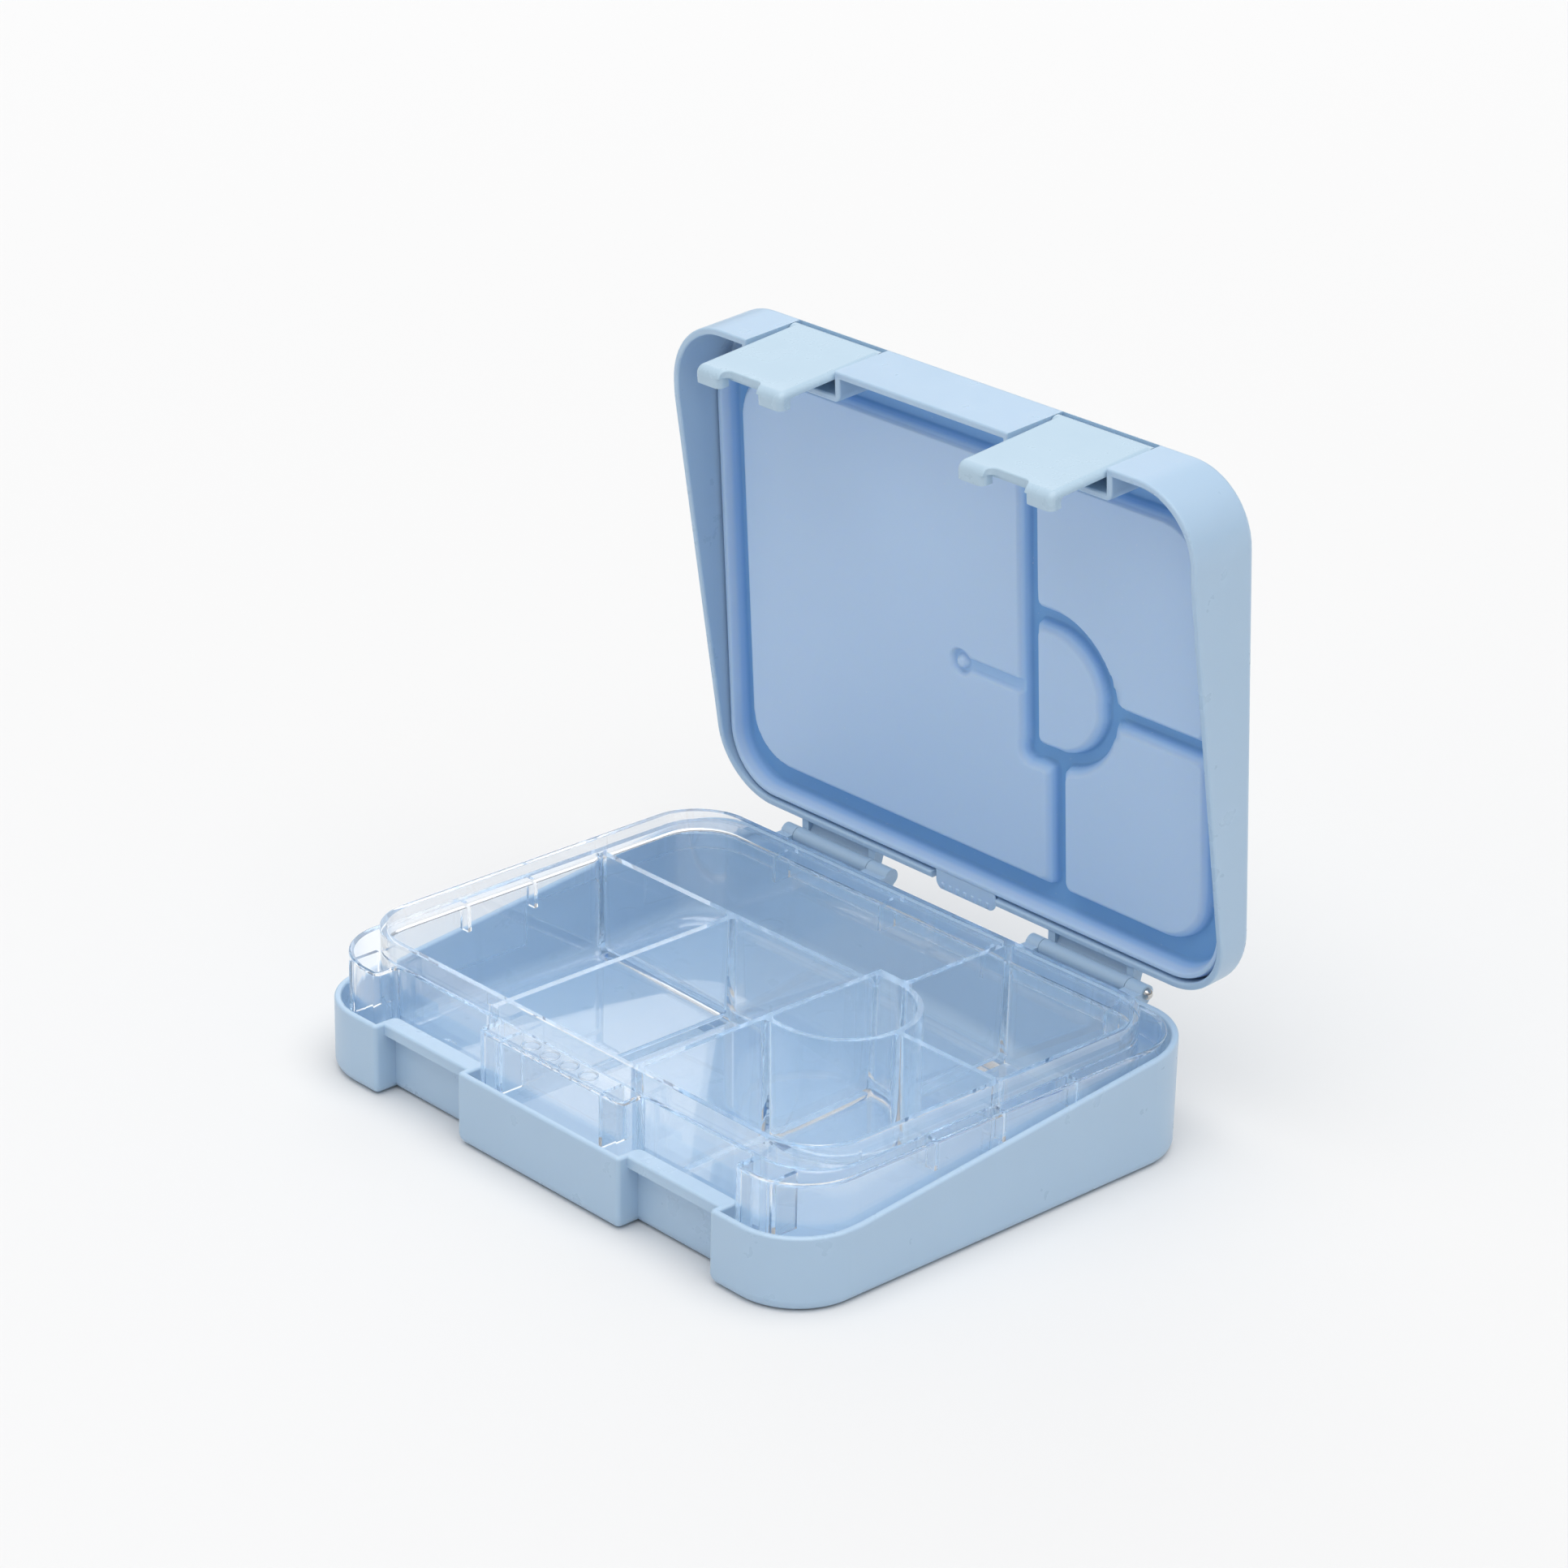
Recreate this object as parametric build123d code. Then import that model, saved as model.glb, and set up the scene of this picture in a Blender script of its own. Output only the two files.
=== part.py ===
from build123d import *
from math import cos, radians
import os

# A leak-proof lunch box: a wedge-shaped base with a low front wall, a matching lid on two pin
# hinges, a lift-out clear tray with six compartments, a silicone seal in the lid's ceiling, and
# two swing latches on the lid's front. X is the width, the latches face -Y, the hinges +Y.
# Origin: middle of the base's underside, +Z up. The lid stands open, leaning a little forward.

# ---- the closed box ----
WIDTH = 216.0
DEPTH = 165.0
HEIGHT = 48.0
WALL = 2.2
CORNER_R = 22.0
FRONT_RIM_Z = 23.4  # height of the parting line along the front
BACK_RIM_Z = 37.6  # height of the parting line at the back wall
SLOPE_START_Y = -56.0  # the side rims are level in front of this line and rise behind it
RIM_GAP = 0.3
BOTTOM_R = 3.6
LID_TOP_T = 2.0
LID_EDGE_R = 2.6
OPEN_ANGLE = 86.0

# ---- latch bays, cut into the front of the base and of the lid ----
BAY_INNER_X = 35.8
BAY_OUTER_X = 73.9
BAY_WALL_Y = -74.9  # outer face of the set-back wall
LEDGE_Y = -79.1  # front edge of the ledge that the latch catches under
LEDGE_T = 3.5
BAY_SIDES = (-1, 1)

# ---- latches ----
LATCH_T = 2.2
LATCH_PIVOT_Y = -79.8
LATCH_PIVOT_Z = 43.0
LATCH_BARREL_R = 2.7
LATCH_PIN_R = 1.0
LATCH_FOOT_Z = 2.4
LATCH_FOOT_T = 4.0
LATCH_FOOT_DEPTH = 5.4
LATCH_FOOT_W = 10.6
LATCH_LEAN = 2.0  # the free end hangs this many degrees towards the box
LATCH_SIDE_GAP = 0.4

# ---- hinges ----
HINGE_Y = 87.8
HINGE_Z = 36.7
HINGE_INNER_X = 30.3
HINGE_OUTER_X = 77.8
BARREL_R = 2.7
HINGE_PIN_R = 1.1
PIN_HEAD_R = 1.8
PIN_TIP_INSET = 2.0  # the pin stops this far inside its closed knuckle
KNUCKLE_GAP = 0.2
LEFT_KNUCKLE_W = 5.2
CLOSED_KNUCKLE_W = 9.0  # inner knuckle of the left hinge
HEAD_KNUCKLE_W = 6.7  # outer knuckle of the right hinge

# ---- tray ----
RIM_X = 100.5  # outer half width of the sealing rim
RIM_FRONT_Y = -69.0
RIM_BACK_Y = 72.0
RIM_R = 19.0
RIM_TOP_Z = 44.4
TRAY_WALL = 2.0
TRAY_FLOOR_Z = 5.5
TRAY_FLOOR_T = 1.8
TRAY_DRAFT = 1.5
FLANGE_X = 105.3
FLANGE_FRONT_Y = -78.0
FLANGE_BACK_Y = 79.5
FLANGE_R = 20.5
FLANGE_Z = 38.0
FLANGE_T = 1.8
SKIRT_T = 1.6
DIVIDER_X = 27.0  # long front-to-back divider
DIVIDER_Y = 27.6  # cross divider on the left
LEFT_DIVIDER_X = -36.6
REAR_DIVIDER_X = 37.8
DIP_Y = 3.7  # middle of the half-round dip compartment
DIP_R = 22.4
DIP_CENTRE_X = 36.2
LOW_DIVIDER_DROP = 4.6  # the two left dividers stop under the seal's flat panel

# ---- seal ----
SEAL_X = 104.4
SEAL_FRONT_Y = -71.9
SEAL_BACK_Y = 79.4
SEAL_R = 20.5
SEAL_TOP_Z = 45.9
SEAL_WEB_T = 1.2
LIP_Z = 38.6  # the outer lip ends just over the tray's flange
LIP_GAP = 0.9  # from the tray's rim to the lip
PANEL_Z = 40.2
PANEL_X = 95.4
PANEL_FRONT_Y = -63.0
PANEL_BACK_Y = 68.4
PANEL_R = 14.0
CHANNEL_HALF_W = 3.6
STUB_Y = 6.4  # short channel for another tray's divider
STUB_HALF_W = 2.5
STUB_END_X = -1.7
STUB_END_R = 4.0
TAB_HALF_W = 13.0


def rounded_plan(half_x, front_y, back_y, radius):
    """A rounded rectangle on the XY plane between two Y values."""
    plan = RectangleRounded(2 * half_x, back_y - front_y, radius)
    return Pos(0, (front_y + back_y) / 2) * plan


def slab(plan, z_low, z_high):
    """A plan drawn at z = 0, lifted and extruded between two heights."""
    return extrude(Pos(0, 0, z_low) * plan, z_high - z_low)


def block(x, y, z):
    """A box from three (low, high) pairs."""
    size = [high - low for low, high in (x, y, z)]
    centre = [(high + low) / 2 for low, high in (x, y, z)]
    return Pos(*centre) * Box(*size)


def along_x(profile_yz, x_low, x_high):
    """A closed YZ profile extruded between two X values."""
    face = Plane.YZ * profile_yz
    return Pos(x_low, 0, 0) * extrude(face, x_high - x_low, dir=(1, 0, 0))


def x_rod(radius, y, z, x_low, x_high):
    """A round rod along X."""
    rod = Rot(0, 90, 0) * Cylinder(radius, x_high - x_low)
    return Pos((x_low + x_high) / 2, y, z) * rod


def open_lid(shape):
    """Turn a shape from its closed place to the lid's open place."""
    turn = Axis((0, HINGE_Y, HINGE_Z), (-1, 0, 0))
    return shape.rotate(turn, OPEN_ANGLE)


def softened(shape, edges, radius):
    """Fillet the edges one by one where the whole set can't be done at once."""
    try:
        return shape.fillet(radius, edges)
    except Exception:
        pass
    for edge in edges:
        live = [e for e in shape.edges() if (e.center() - edge.center()).length < 1e-3]
        try:
            shape = shape.fillet(radius, live)
        except Exception:
            continue
    return shape


def below_parting(rise):
    """Everything under the box's parting line, moved up by rise."""
    reach = DEPTH / 2 + 20
    slope = (BACK_RIM_Z - FRONT_RIM_Z) / (DEPTH / 2 - SLOPE_START_Y)
    end_z = BACK_RIM_Z + slope * (reach - DEPTH / 2)
    front = -reach
    points = [
        (front, -5),
        (reach, -5),
        (reach, end_z + rise),
        (SLOPE_START_Y, FRONT_RIM_Z + rise),
        (front, FRONT_RIM_Z + rise),
    ]
    profile = make_face(Polyline(*points, close=True))
    knee = profile.vertices().sort_by_distance((SLOPE_START_Y, FRONT_RIM_Z + rise))[0]
    profile = fillet(knee, 40.0)
    return along_x(profile, -WIDTH / 2 - 5, WIDTH / 2 + 5)


def bay(side, grow, y_back, z_low, z_high):
    """The space of one latch bay, open to the front and widened by grow."""
    x = sorted((side * (BAY_INNER_X - grow), side * (BAY_OUTER_X + grow)))
    return block(x, (-DEPTH / 2 - 5, y_back), (z_low, z_high))


def upright_edges(shape, y_low, y_high, x_max=90.0):
    """Vertical edges inside a band of Y."""
    found = []
    for edge in shape.edges().filter_by(Axis.Z):
        mid = edge.center()
        if y_low < mid.Y < y_high and abs(mid.X) < x_max:
            found.append(edge)
    return found


def cavity(z_low, z_high, floor_r, floor_up):
    """The hollow inside base or lid, going round the back of the latch bays."""
    plan = rounded_plan(WIDTH / 2 - WALL, -DEPTH / 2 + WALL, DEPTH / 2 - WALL, CORNER_R - WALL)
    hollow = slab(plan, z_low, z_high)
    for side in BAY_SIDES:
        hollow -= bay(side, WALL, BAY_WALL_Y + WALL, z_low - 1, z_high + 1)
    hollow = softened(hollow, upright_edges(hollow, -DEPTH / 2 + WALL + 1, BAY_WALL_Y + 3), 2.6)
    floor = hollow.faces().sort_by(Axis.Z)[0 if floor_up else -1]
    return softened(hollow, floor.edges(), floor_r)


def hinge_spans():
    """For each hinge: left knuckle, lid barrel and right knuckle along X, and the pin's side."""
    hinges = (
        (-HINGE_OUTER_X, -HINGE_INNER_X, CLOSED_KNUCKLE_W, -1),
        (HINGE_INNER_X, HINGE_OUTER_X, HEAD_KNUCKLE_W, 1),
    )
    spans = []
    for low, high, right_w, pin_side in hinges:
        left = (low, low + LEFT_KNUCKLE_W)
        right = (high - right_w, high)
        barrel = (left[1] + KNUCKLE_GAP, right[0] - KNUCKLE_GAP)
        spans.append((left, barrel, right, pin_side))
    return spans


def pin_ends(left, right, pin_side):
    """X of a hinge pin's tip, in the closed inner knuckle, and of the outer knuckle's mouth."""
    if pin_side < 0:
        return right[1] - PIN_TIP_INSET, left[0]
    return left[0] + PIN_TIP_INSET, right[1]


def base_knuckle(x_low, x_high):
    """One hinge knuckle on its gusset behind the back wall."""
    root_z = HINGE_Z - 9.5
    wall_y = DEPTH / 2 - 0.8
    points = [
        (wall_y, root_z),
        (DEPTH / 2, root_z),
        (HINGE_Y + BARREL_R * 0.85, HINGE_Z - BARREL_R * 0.5),
        (HINGE_Y, HINGE_Z),
        (HINGE_Y - 1.0, HINGE_Z + 0.6),
        (wall_y, HINGE_Z + 0.6),
    ]
    arm = along_x(make_face(Polyline(*points, close=True)), x_low, x_high)
    return arm + x_rod(BARREL_R, HINGE_Y, HINGE_Z, x_low, x_high)


def base_shell():
    """Lower shell: wedge-shaped wall, level front rim, two latch bays with ledges, knuckles."""
    plan = rounded_plan(WIDTH / 2, -DEPTH / 2, DEPTH / 2, CORNER_R)
    shell = slab(plan, 0, BACK_RIM_Z + 6)
    for side in BAY_SIDES:
        shell -= bay(side, 0, BAY_WALL_Y, -1, FRONT_RIM_Z - LEDGE_T)
        shell -= bay(side, 0, LEDGE_Y, -1, FRONT_RIM_Z + 20)
    shell = softened(shell, upright_edges(shell, -DEPTH / 2 - 1, -DEPTH / 2 + 1), 1.4)
    shell = softened(shell, shell.faces().sort_by(Axis.Z)[0].edges(), BOTTOM_R)
    shell -= cavity(WALL, BACK_RIM_Z + 10, 5.0, True)
    shell = shell & below_parting(0)
    rim = [e for e in shell.edges() if is_rim_edge(e, 0)]
    shell = softened(shell, rim, 0.8)
    for left, _, right, pin_side in hinge_spans():
        shell += base_knuckle(*left)
        shell += base_knuckle(*right)
        tip, mouth = pin_ends(left, right, pin_side)
        bore = sorted((tip - pin_side * 0.5, mouth + pin_side))
        shell -= x_rod(HINGE_PIN_R + 0.02, HINGE_Y, HINGE_Z, *bore)
    return shell


def parting_z(y):
    """Height of the parting line at a given Y, away from its rounded knee."""
    if y <= SLOPE_START_Y:
        return FRONT_RIM_Z
    share = (y - SLOPE_START_Y) / (DEPTH / 2 - SLOPE_START_Y)
    return FRONT_RIM_Z + (BACK_RIM_Z - FRONT_RIM_Z) * share


def is_rim_edge(edge, rise):
    """True when both ends and the middle of an edge lie near the parting surface."""
    for share in (0.0, 0.5, 1.0):
        point = edge.position_at(share)
        if abs(point.Z - parting_z(point.Y) - rise) > 0.3:
            return False
    return True


def hinge_pin(left, right, pin_side):
    """Steel pin pushed in from the outer end, turned from bar, with a domed head outside."""
    tip, mouth = pin_ends(left, right, pin_side)
    reach = abs(mouth - tip) + 0.05
    half = PIN_HEAD_R * cos(radians(45))
    sides = Polyline((reach + PIN_HEAD_R, 0), (0, 0), (0, HINGE_PIN_R), (reach, HINGE_PIN_R),
                     (reach, PIN_HEAD_R))
    dome = ThreePointArc((reach, PIN_HEAD_R), (reach + half, half), (reach + PIN_HEAD_R, 0))
    pin = revolve(make_face(sides + dome), Axis.X)
    facing = Rot(0, 0, 0) if pin_side > 0 else Rot(0, 0, 180)
    return Pos(tip, HINGE_Y, HINGE_Z) * facing * pin


def lid_barrel(x_low, x_high):
    """The lid's long hinge barrel, held by an arm at each end with an open slot between."""
    arm_z = BACK_RIM_Z + 0.9
    arm_top = arm_z + 3.4
    points = [
        (DEPTH / 2 - 0.8, arm_z),
        (HINGE_Y - BARREL_R * 0.5, HINGE_Z + BARREL_R * 0.6),
        (HINGE_Y, HINGE_Z),
        (HINGE_Y + BARREL_R * 0.7, HINGE_Z + BARREL_R * 0.7),
        (HINGE_Y + 0.3, arm_top - 0.6),
        (DEPTH / 2 - 0.8, arm_top + 1.6),
    ]
    profile = make_face(Polyline(*points, close=True))
    barrel = x_rod(BARREL_R, HINGE_Y, HINGE_Z, x_low, x_high)
    barrel += along_x(profile, x_low, x_low + 2.8)
    barrel += along_x(profile, x_high - 2.8, x_high)
    bore = x_rod(HINGE_PIN_R + 0.07, HINGE_Y, HINGE_Z, x_low - 1, x_high + 1)
    return barrel - bore


def lid_shell():
    """Upper shell, drawn closed: deep front, shallow back, latch bays with pin cheeks."""
    plan = rounded_plan(WIDTH / 2, -DEPTH / 2, DEPTH / 2, CORNER_R)
    shell = slab(plan, FRONT_RIM_Z - 4, HEIGHT)
    shell = softened(shell, shell.faces().sort_by(Axis.Z)[-1].edges(), LID_EDGE_R)
    for side in BAY_SIDES:
        shell -= bay(side, 0, BAY_WALL_Y, -1, HEIGHT - LID_TOP_T)
    shell -= cavity(FRONT_RIM_Z - 10, HEIGHT - LID_TOP_T, 0.6, False)
    shell = shell - below_parting(RIM_GAP)
    shell -= block((-TAB_HALF_W - 0.7, TAB_HALF_W + 0.7), (DEPTH / 2 - WALL - 1, DEPTH / 2 + 1),
                   (BACK_RIM_Z - 2, BACK_RIM_Z + 3.0))
    rim = [e for e in shell.edges() if is_rim_edge(e, RIM_GAP)]
    shell = softened(shell, rim, 0.7)
    shell += seal_frame()
    for side in BAY_SIDES:
        low, high = sorted((side * (BAY_INNER_X - WALL + 0.2), side * (BAY_OUTER_X + WALL - 0.2)))
        shell -= x_rod(LATCH_PIN_R + 0.02, LATCH_PIVOT_Y, LATCH_PIVOT_Z, low, high)
    for _, barrel, _, _ in hinge_spans():
        shell += lid_barrel(*barrel)
    return shell


def seal_frame():
    """Low step between the lid's ceiling and wall, round the sides and back of the seal."""
    into_wall = WALL / 2
    outer = rounded_plan(WIDTH / 2 - into_wall, SEAL_FRONT_Y - 0.6, DEPTH / 2 - into_wall,
                         CORNER_R - into_wall)
    inner = rounded_plan(SEAL_X + 0.3, SEAL_FRONT_Y - 20, SEAL_BACK_Y + 0.3, SEAL_R + 0.2)
    rib = slab(outer - inner, HEIGHT - LID_TOP_T - 2.4, HEIGHT - LID_TOP_T + 0.5)
    rib -= block((-200, 200), (-200, -40), (0, 100))
    return rib - block((-TAB_HALF_W - 0.7, TAB_HALF_W + 0.7), (60, 90), (0, HEIGHT - LID_TOP_T))


def latch(side):
    """Swing latch: barrel on its pin, flat plate, catch rib behind, two feet curling inwards."""
    outer_y = LATCH_PIVOT_Y - LATCH_BARREL_R
    inner_y = outer_y + LATCH_T
    low, high = sorted((side * (BAY_INNER_X + LATCH_SIDE_GAP), side * (BAY_OUTER_X - LATCH_SIDE_GAP)))
    foot_y = outer_y + LATCH_FOOT_DEPTH
    points = [
        (outer_y, LATCH_PIVOT_Z),
        (outer_y, LATCH_FOOT_Z),
        (foot_y, LATCH_FOOT_Z),
        (foot_y, LATCH_FOOT_Z + LATCH_FOOT_T),
        (inner_y, LATCH_FOOT_Z + LATCH_FOOT_T),
        (inner_y, LATCH_PIVOT_Z),
    ]
    profile = make_face(Polyline(*points, close=True))
    bend = profile.vertices().sort_by_distance((outer_y, LATCH_FOOT_Z))[0]
    profile = fillet(bend, 2.8)
    bend = profile.vertices().sort_by_distance((inner_y, LATCH_FOOT_Z + LATCH_FOOT_T))[0]
    profile = fillet(bend, 1.2)
    plate = along_x(profile, low, high)
    arch_low, arch_high = low + LATCH_FOOT_W, high - LATCH_FOOT_W
    arch = block((arch_low, arch_high), (outer_y - 1, foot_y + 1),
                 (LATCH_FOOT_Z - 1, LATCH_FOOT_Z + 3.4))
    arch = softened(arch, [e for e in arch.edges().filter_by(Axis.Y) if e.center().Z > 3], 2.6)
    lip = block((arch_low - 0.01, arch_high + 0.01), (inner_y, foot_y + 1),
                (LATCH_FOOT_Z - 1, LATCH_FOOT_Z + LATCH_FOOT_T + 0.01))
    plate = plate - arch - lip
    ends = [e for e in plate.edges().filter_by(Axis.Y) if e.center().Z < LATCH_FOOT_Z + 0.1]
    plate = softened(plate, ends, 2.0)
    plate = softened(plate, [e for e in plate.edges() if abs(e.center().Y - outer_y) < 0.01], 0.5)
    plate += x_rod(LATCH_BARREL_R, LATCH_PIVOT_Y, LATCH_PIVOT_Z, low, high)
    ledge_z = FRONT_RIM_Z - LEDGE_T
    rib = [(inner_y - 0.3, ledge_z - 3.6), (inner_y + 0.6, ledge_z - 3.6), (inner_y + 2.7, ledge_z - 2.2),
           (inner_y + 2.7, ledge_z - 0.5), (inner_y - 0.3, ledge_z - 0.5)]
    plate += along_x(make_face(Polyline(*rib, close=True)), low + 5, high - 5)
    plate -= x_rod(LATCH_PIN_R + 0.06, LATCH_PIVOT_Y, LATCH_PIVOT_Z, low - 1, high + 1)
    return plate.rotate(Axis((0, LATCH_PIVOT_Y, LATCH_PIVOT_Z), (1, 0, 0)), LATCH_LEAN)


def latch_pin(side):
    """Steel pin across a latch bay, held in the lid's two cheeks."""
    low, high = sorted((side * (BAY_INNER_X - WALL + 0.4), side * (BAY_OUTER_X + WALL - 0.4)))
    return x_rod(LATCH_PIN_R, LATCH_PIVOT_Y, LATCH_PIVOT_Z, low, high)


def dip_plan(grow):
    """The half-round dip compartment's outline, straight on its left side."""
    radius = DIP_R + grow
    left = DIVIDER_X - grow
    straight = Pos((left + DIP_CENTRE_X) / 2, DIP_Y) * Rectangle(DIP_CENTRE_X - left, 2 * radius)
    disc = Pos(DIP_CENTRE_X, DIP_Y) * Circle(radius)
    left_half = Pos(DIP_CENTRE_X - radius, DIP_Y) * Rectangle(2 * radius, 4 * radius)
    return straight + (disc - left_half)


def rect(x_low, x_high, y_low, y_high):
    """A plain rectangle from its limits."""
    return Pos((x_low + x_high) / 2, (y_low + y_high) / 2) * Rectangle(x_high - x_low, y_high - y_low)


def compartment_plans():
    """The six compartments at rim height, divided by walls of equal thickness."""
    half = TRAY_WALL / 2
    inner = rounded_plan(RIM_X - TRAY_WALL, RIM_FRONT_Y + TRAY_WALL, RIM_BACK_Y - TRAY_WALL,
                         RIM_R - TRAY_WALL)
    dip_wall = dip_plan(half)
    front_left = inner & rect(-120, LEFT_DIVIDER_X - half, -90, DIVIDER_Y - half)
    front_middle = inner & rect(LEFT_DIVIDER_X + half, DIVIDER_X - half, -90, DIVIDER_Y - half)
    back_left = (inner & rect(-120, REAR_DIVIDER_X - half, DIVIDER_Y + half, 90)) - dip_wall
    front_right = (inner & rect(DIVIDER_X + half, 120, -90, DIP_Y - half)) - dip_wall
    back_right = (inner & rect(REAR_DIVIDER_X + half, 120, DIP_Y + half, 90)) - dip_wall
    return [front_left, front_middle, back_left, dip_plan(-half), front_right, back_right]


def flange_plan(shrink):
    """The tray's outer outline, with its front set back at the two latch bays."""
    plan = rounded_plan(FLANGE_X - shrink, FLANGE_FRONT_Y + shrink, FLANGE_BACK_Y - shrink,
                        FLANGE_R - shrink)
    for side in BAY_SIDES:
        x = sorted((side * (31.5 - shrink), side * (78.6 + shrink)))
        plan -= rect(*x, -120, -70.0 + shrink)
    corners = [v for v in plan.vertices() if v.Y < -69.5 + shrink and abs(v.X) < 82]
    return fillet(corners, 1.9 - shrink / 2)


def tapered(plan, z_top, z_bottom, floor_r):
    """A pocket or body that narrows downwards from a plan at z_top."""
    shape = extrude(Pos(0, 0, z_top) * plan, z_top - z_bottom, dir=(0, 0, -1), taper=TRAY_DRAFT)
    upright = [e for e in shape.edges() if abs(e.tangent_at(0.5).Z) > 0.9 and e.length > 20]
    shape = softened(shape, upright, 1.6)
    floor = shape.faces().sort_by(Axis.Z)[0]
    return softened(shape, floor.edges(), floor_r)


def tray():
    """Clear tray: six pockets in one body, sealing rim, flange, and a skirt with gusset ribs."""
    outer = rounded_plan(RIM_X, RIM_FRONT_Y, RIM_BACK_Y, RIM_R)
    body = tapered(outer, RIM_TOP_Z, TRAY_FLOOR_Z - TRAY_FLOOR_T, 3.6)
    flange = slab(flange_plan(0), FLANGE_Z - FLANGE_T, FLANGE_Z)
    flange = softened(flange, flange.faces().sort_by(Axis.Z)[-1].edges(), 0.7)
    band = flange_plan(0) - flange_plan(SKIRT_T)
    skirt = slab(band, 14.0, FLANGE_Z - 0.9) - block((-200, 200), (1.0, 200), (0, FLANGE_Z - 10))
    body += flange + skirt + gussets()
    for plan in compartment_plans():
        for face in plan.faces():
            body -= tapered(face, RIM_TOP_Z, TRAY_FLOOR_Z, 2.6)
    low = RIM_TOP_Z - LOW_DIVIDER_DROP
    inner_x = RIM_X - TRAY_WALL
    body -= block((-inner_x, DIVIDER_X - 1), (DIVIDER_Y - 2.5, DIVIDER_Y + 2.5), (low, RIM_TOP_Z + 1))
    body -= block((LEFT_DIVIDER_X - 2.5, LEFT_DIVIDER_X + 2.5),
                  (RIM_FRONT_Y + TRAY_WALL, DIVIDER_Y), (low, RIM_TOP_Z + 1))
    for x in (-80, 80):
        for y in (-50, 54):
            body += Pos(x, y, (TRAY_FLOOR_Z - TRAY_FLOOR_T + WALL + 0.1) / 2 + 0.1) * Cylinder(
                4.0, TRAY_FLOOR_Z - TRAY_FLOOR_T - WALL + 0.1)
    return body


def gussets():
    """Thin ribs under the flange between the tray's walls and its skirt."""
    low = FLANGE_Z - 10.0
    high = FLANGE_Z - 0.9
    ribs = None
    for x in (-65.3, -17.8, 25.7, 77.4):
        rib = block((x - 0.7, x + 0.7), (RIM_BACK_Y - 1.2, FLANGE_BACK_Y - 0.8), (low, high))
        ribs = rib if ribs is None else ribs + rib
    for side in (-1, 1):
        x = sorted((side * (RIM_X - 1.2), side * (FLANGE_X - 0.8)))
        for y in (-25.0, 1.7, 31.0):
            ribs += block(x, (y - 0.7, y + 0.7), (low, high))
    for x in (-22.0, 22.0, -92.0, 92.0):
        ribs += block((x - 0.7, x + 0.7), (FLANGE_FRONT_Y + 0.8, RIM_FRONT_Y + 2.2), (low - 8, high))
    return ribs


def channel_plans():
    """Channels between the seal's pads, over the full-height dividers, and the short stub."""
    half = CHANNEL_HALF_W
    dip_back_y = DIP_Y + DIP_R
    dip_ring = dip_plan(half) - dip_plan(-half)
    long_one = rect(DIVIDER_X - half - 0.8, DIVIDER_X + half - 0.8, PANEL_FRONT_Y - 1, dip_back_y)
    rear = rect(REAR_DIVIDER_X - half - 1, REAR_DIVIDER_X + half - 1, dip_back_y, PANEL_BACK_Y + 1)
    cross = rect(DIP_CENTRE_X + DIP_R - 0.5, PANEL_X + 1, DIP_Y - half + 1, DIP_Y + half + 1)
    stub = rect(STUB_END_X, DIVIDER_X, STUB_Y - STUB_HALF_W, STUB_Y + STUB_HALF_W)
    return dip_ring + long_one + rear + cross + stub + Pos(STUB_END_X, STUB_Y) * Circle(STUB_END_R)


def seal():
    """Silicone mat, drawn closed: thin web, raised flat pads, outer lip and pull tab."""
    outer = rounded_plan(SEAL_X, SEAL_FRONT_Y, SEAL_BACK_Y, SEAL_R)
    rim_space = rounded_plan(RIM_X + LIP_GAP, RIM_FRONT_Y - LIP_GAP, RIM_BACK_Y + LIP_GAP,
                             RIM_R + LIP_GAP)
    mat = slab(outer, SEAL_TOP_Z - SEAL_WEB_T, SEAL_TOP_Z)
    lip = slab(outer - rim_space, LIP_Z, SEAL_TOP_Z - 0.5)
    mat += softened(lip, lip.faces().sort_by(Axis.Z)[0].edges(), 0.8)
    panel = rounded_plan(PANEL_X, PANEL_FRONT_Y, PANEL_BACK_Y, PANEL_R)
    for face in (panel - channel_plans()).faces():
        pad = slab(face, PANEL_Z, SEAL_TOP_Z - 0.5)
        mat += softened(pad, pad.faces().sort_by(Axis.Z)[0].edges(), 0.7)
    return mat + pull_tab()


def pull_tab():
    """Tongue at the back of the seal, out through a notch in the lid, with grip ribs."""
    z_low = BACK_RIM_Z + 0.8
    tongue = block((-TAB_HALF_W, TAB_HALF_W), (SEAL_BACK_Y - 1.6, DEPTH / 2 + 3.2), (z_low, z_low + 1.5))
    upright = [e for e in tongue.edges().filter_by(Axis.Z) if e.center().Y > DEPTH / 2]
    tongue = softened(tongue, upright, 2.0)
    tab = tongue + block((-TAB_HALF_W, TAB_HALF_W), (SEAL_BACK_Y - 1.6, SEAL_BACK_Y),
                         (z_low, SEAL_TOP_Z - 0.4))
    for step in range(-3, 4):
        tab += block((step * 3.2 - 0.5, step * 3.2 + 0.5), (DEPTH / 2 + 0.4, DEPTH / 2 + 2.4),
                     (z_low - 0.4, z_low + 0.3))
    return tab


def build():
    """Every sub-part at its place with the lid open."""
    pieces = {"base_shell": base_shell(), "tray": tray(), "lid_shell": open_lid(lid_shell()),
              "seal": open_lid(seal())}
    for left, _, right, pin_side in hinge_spans():
        name = "left" if pin_side < 0 else "right"
        pieces["hinge_pin_" + name] = hinge_pin(left, right, pin_side)
    for side in BAY_SIDES:
        name = "left" if side < 0 else "right"
        pieces["latch_" + name] = open_lid(latch(side))
        pieces["latch_pin_" + name] = open_lid(latch_pin(side))
    return pieces


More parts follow.
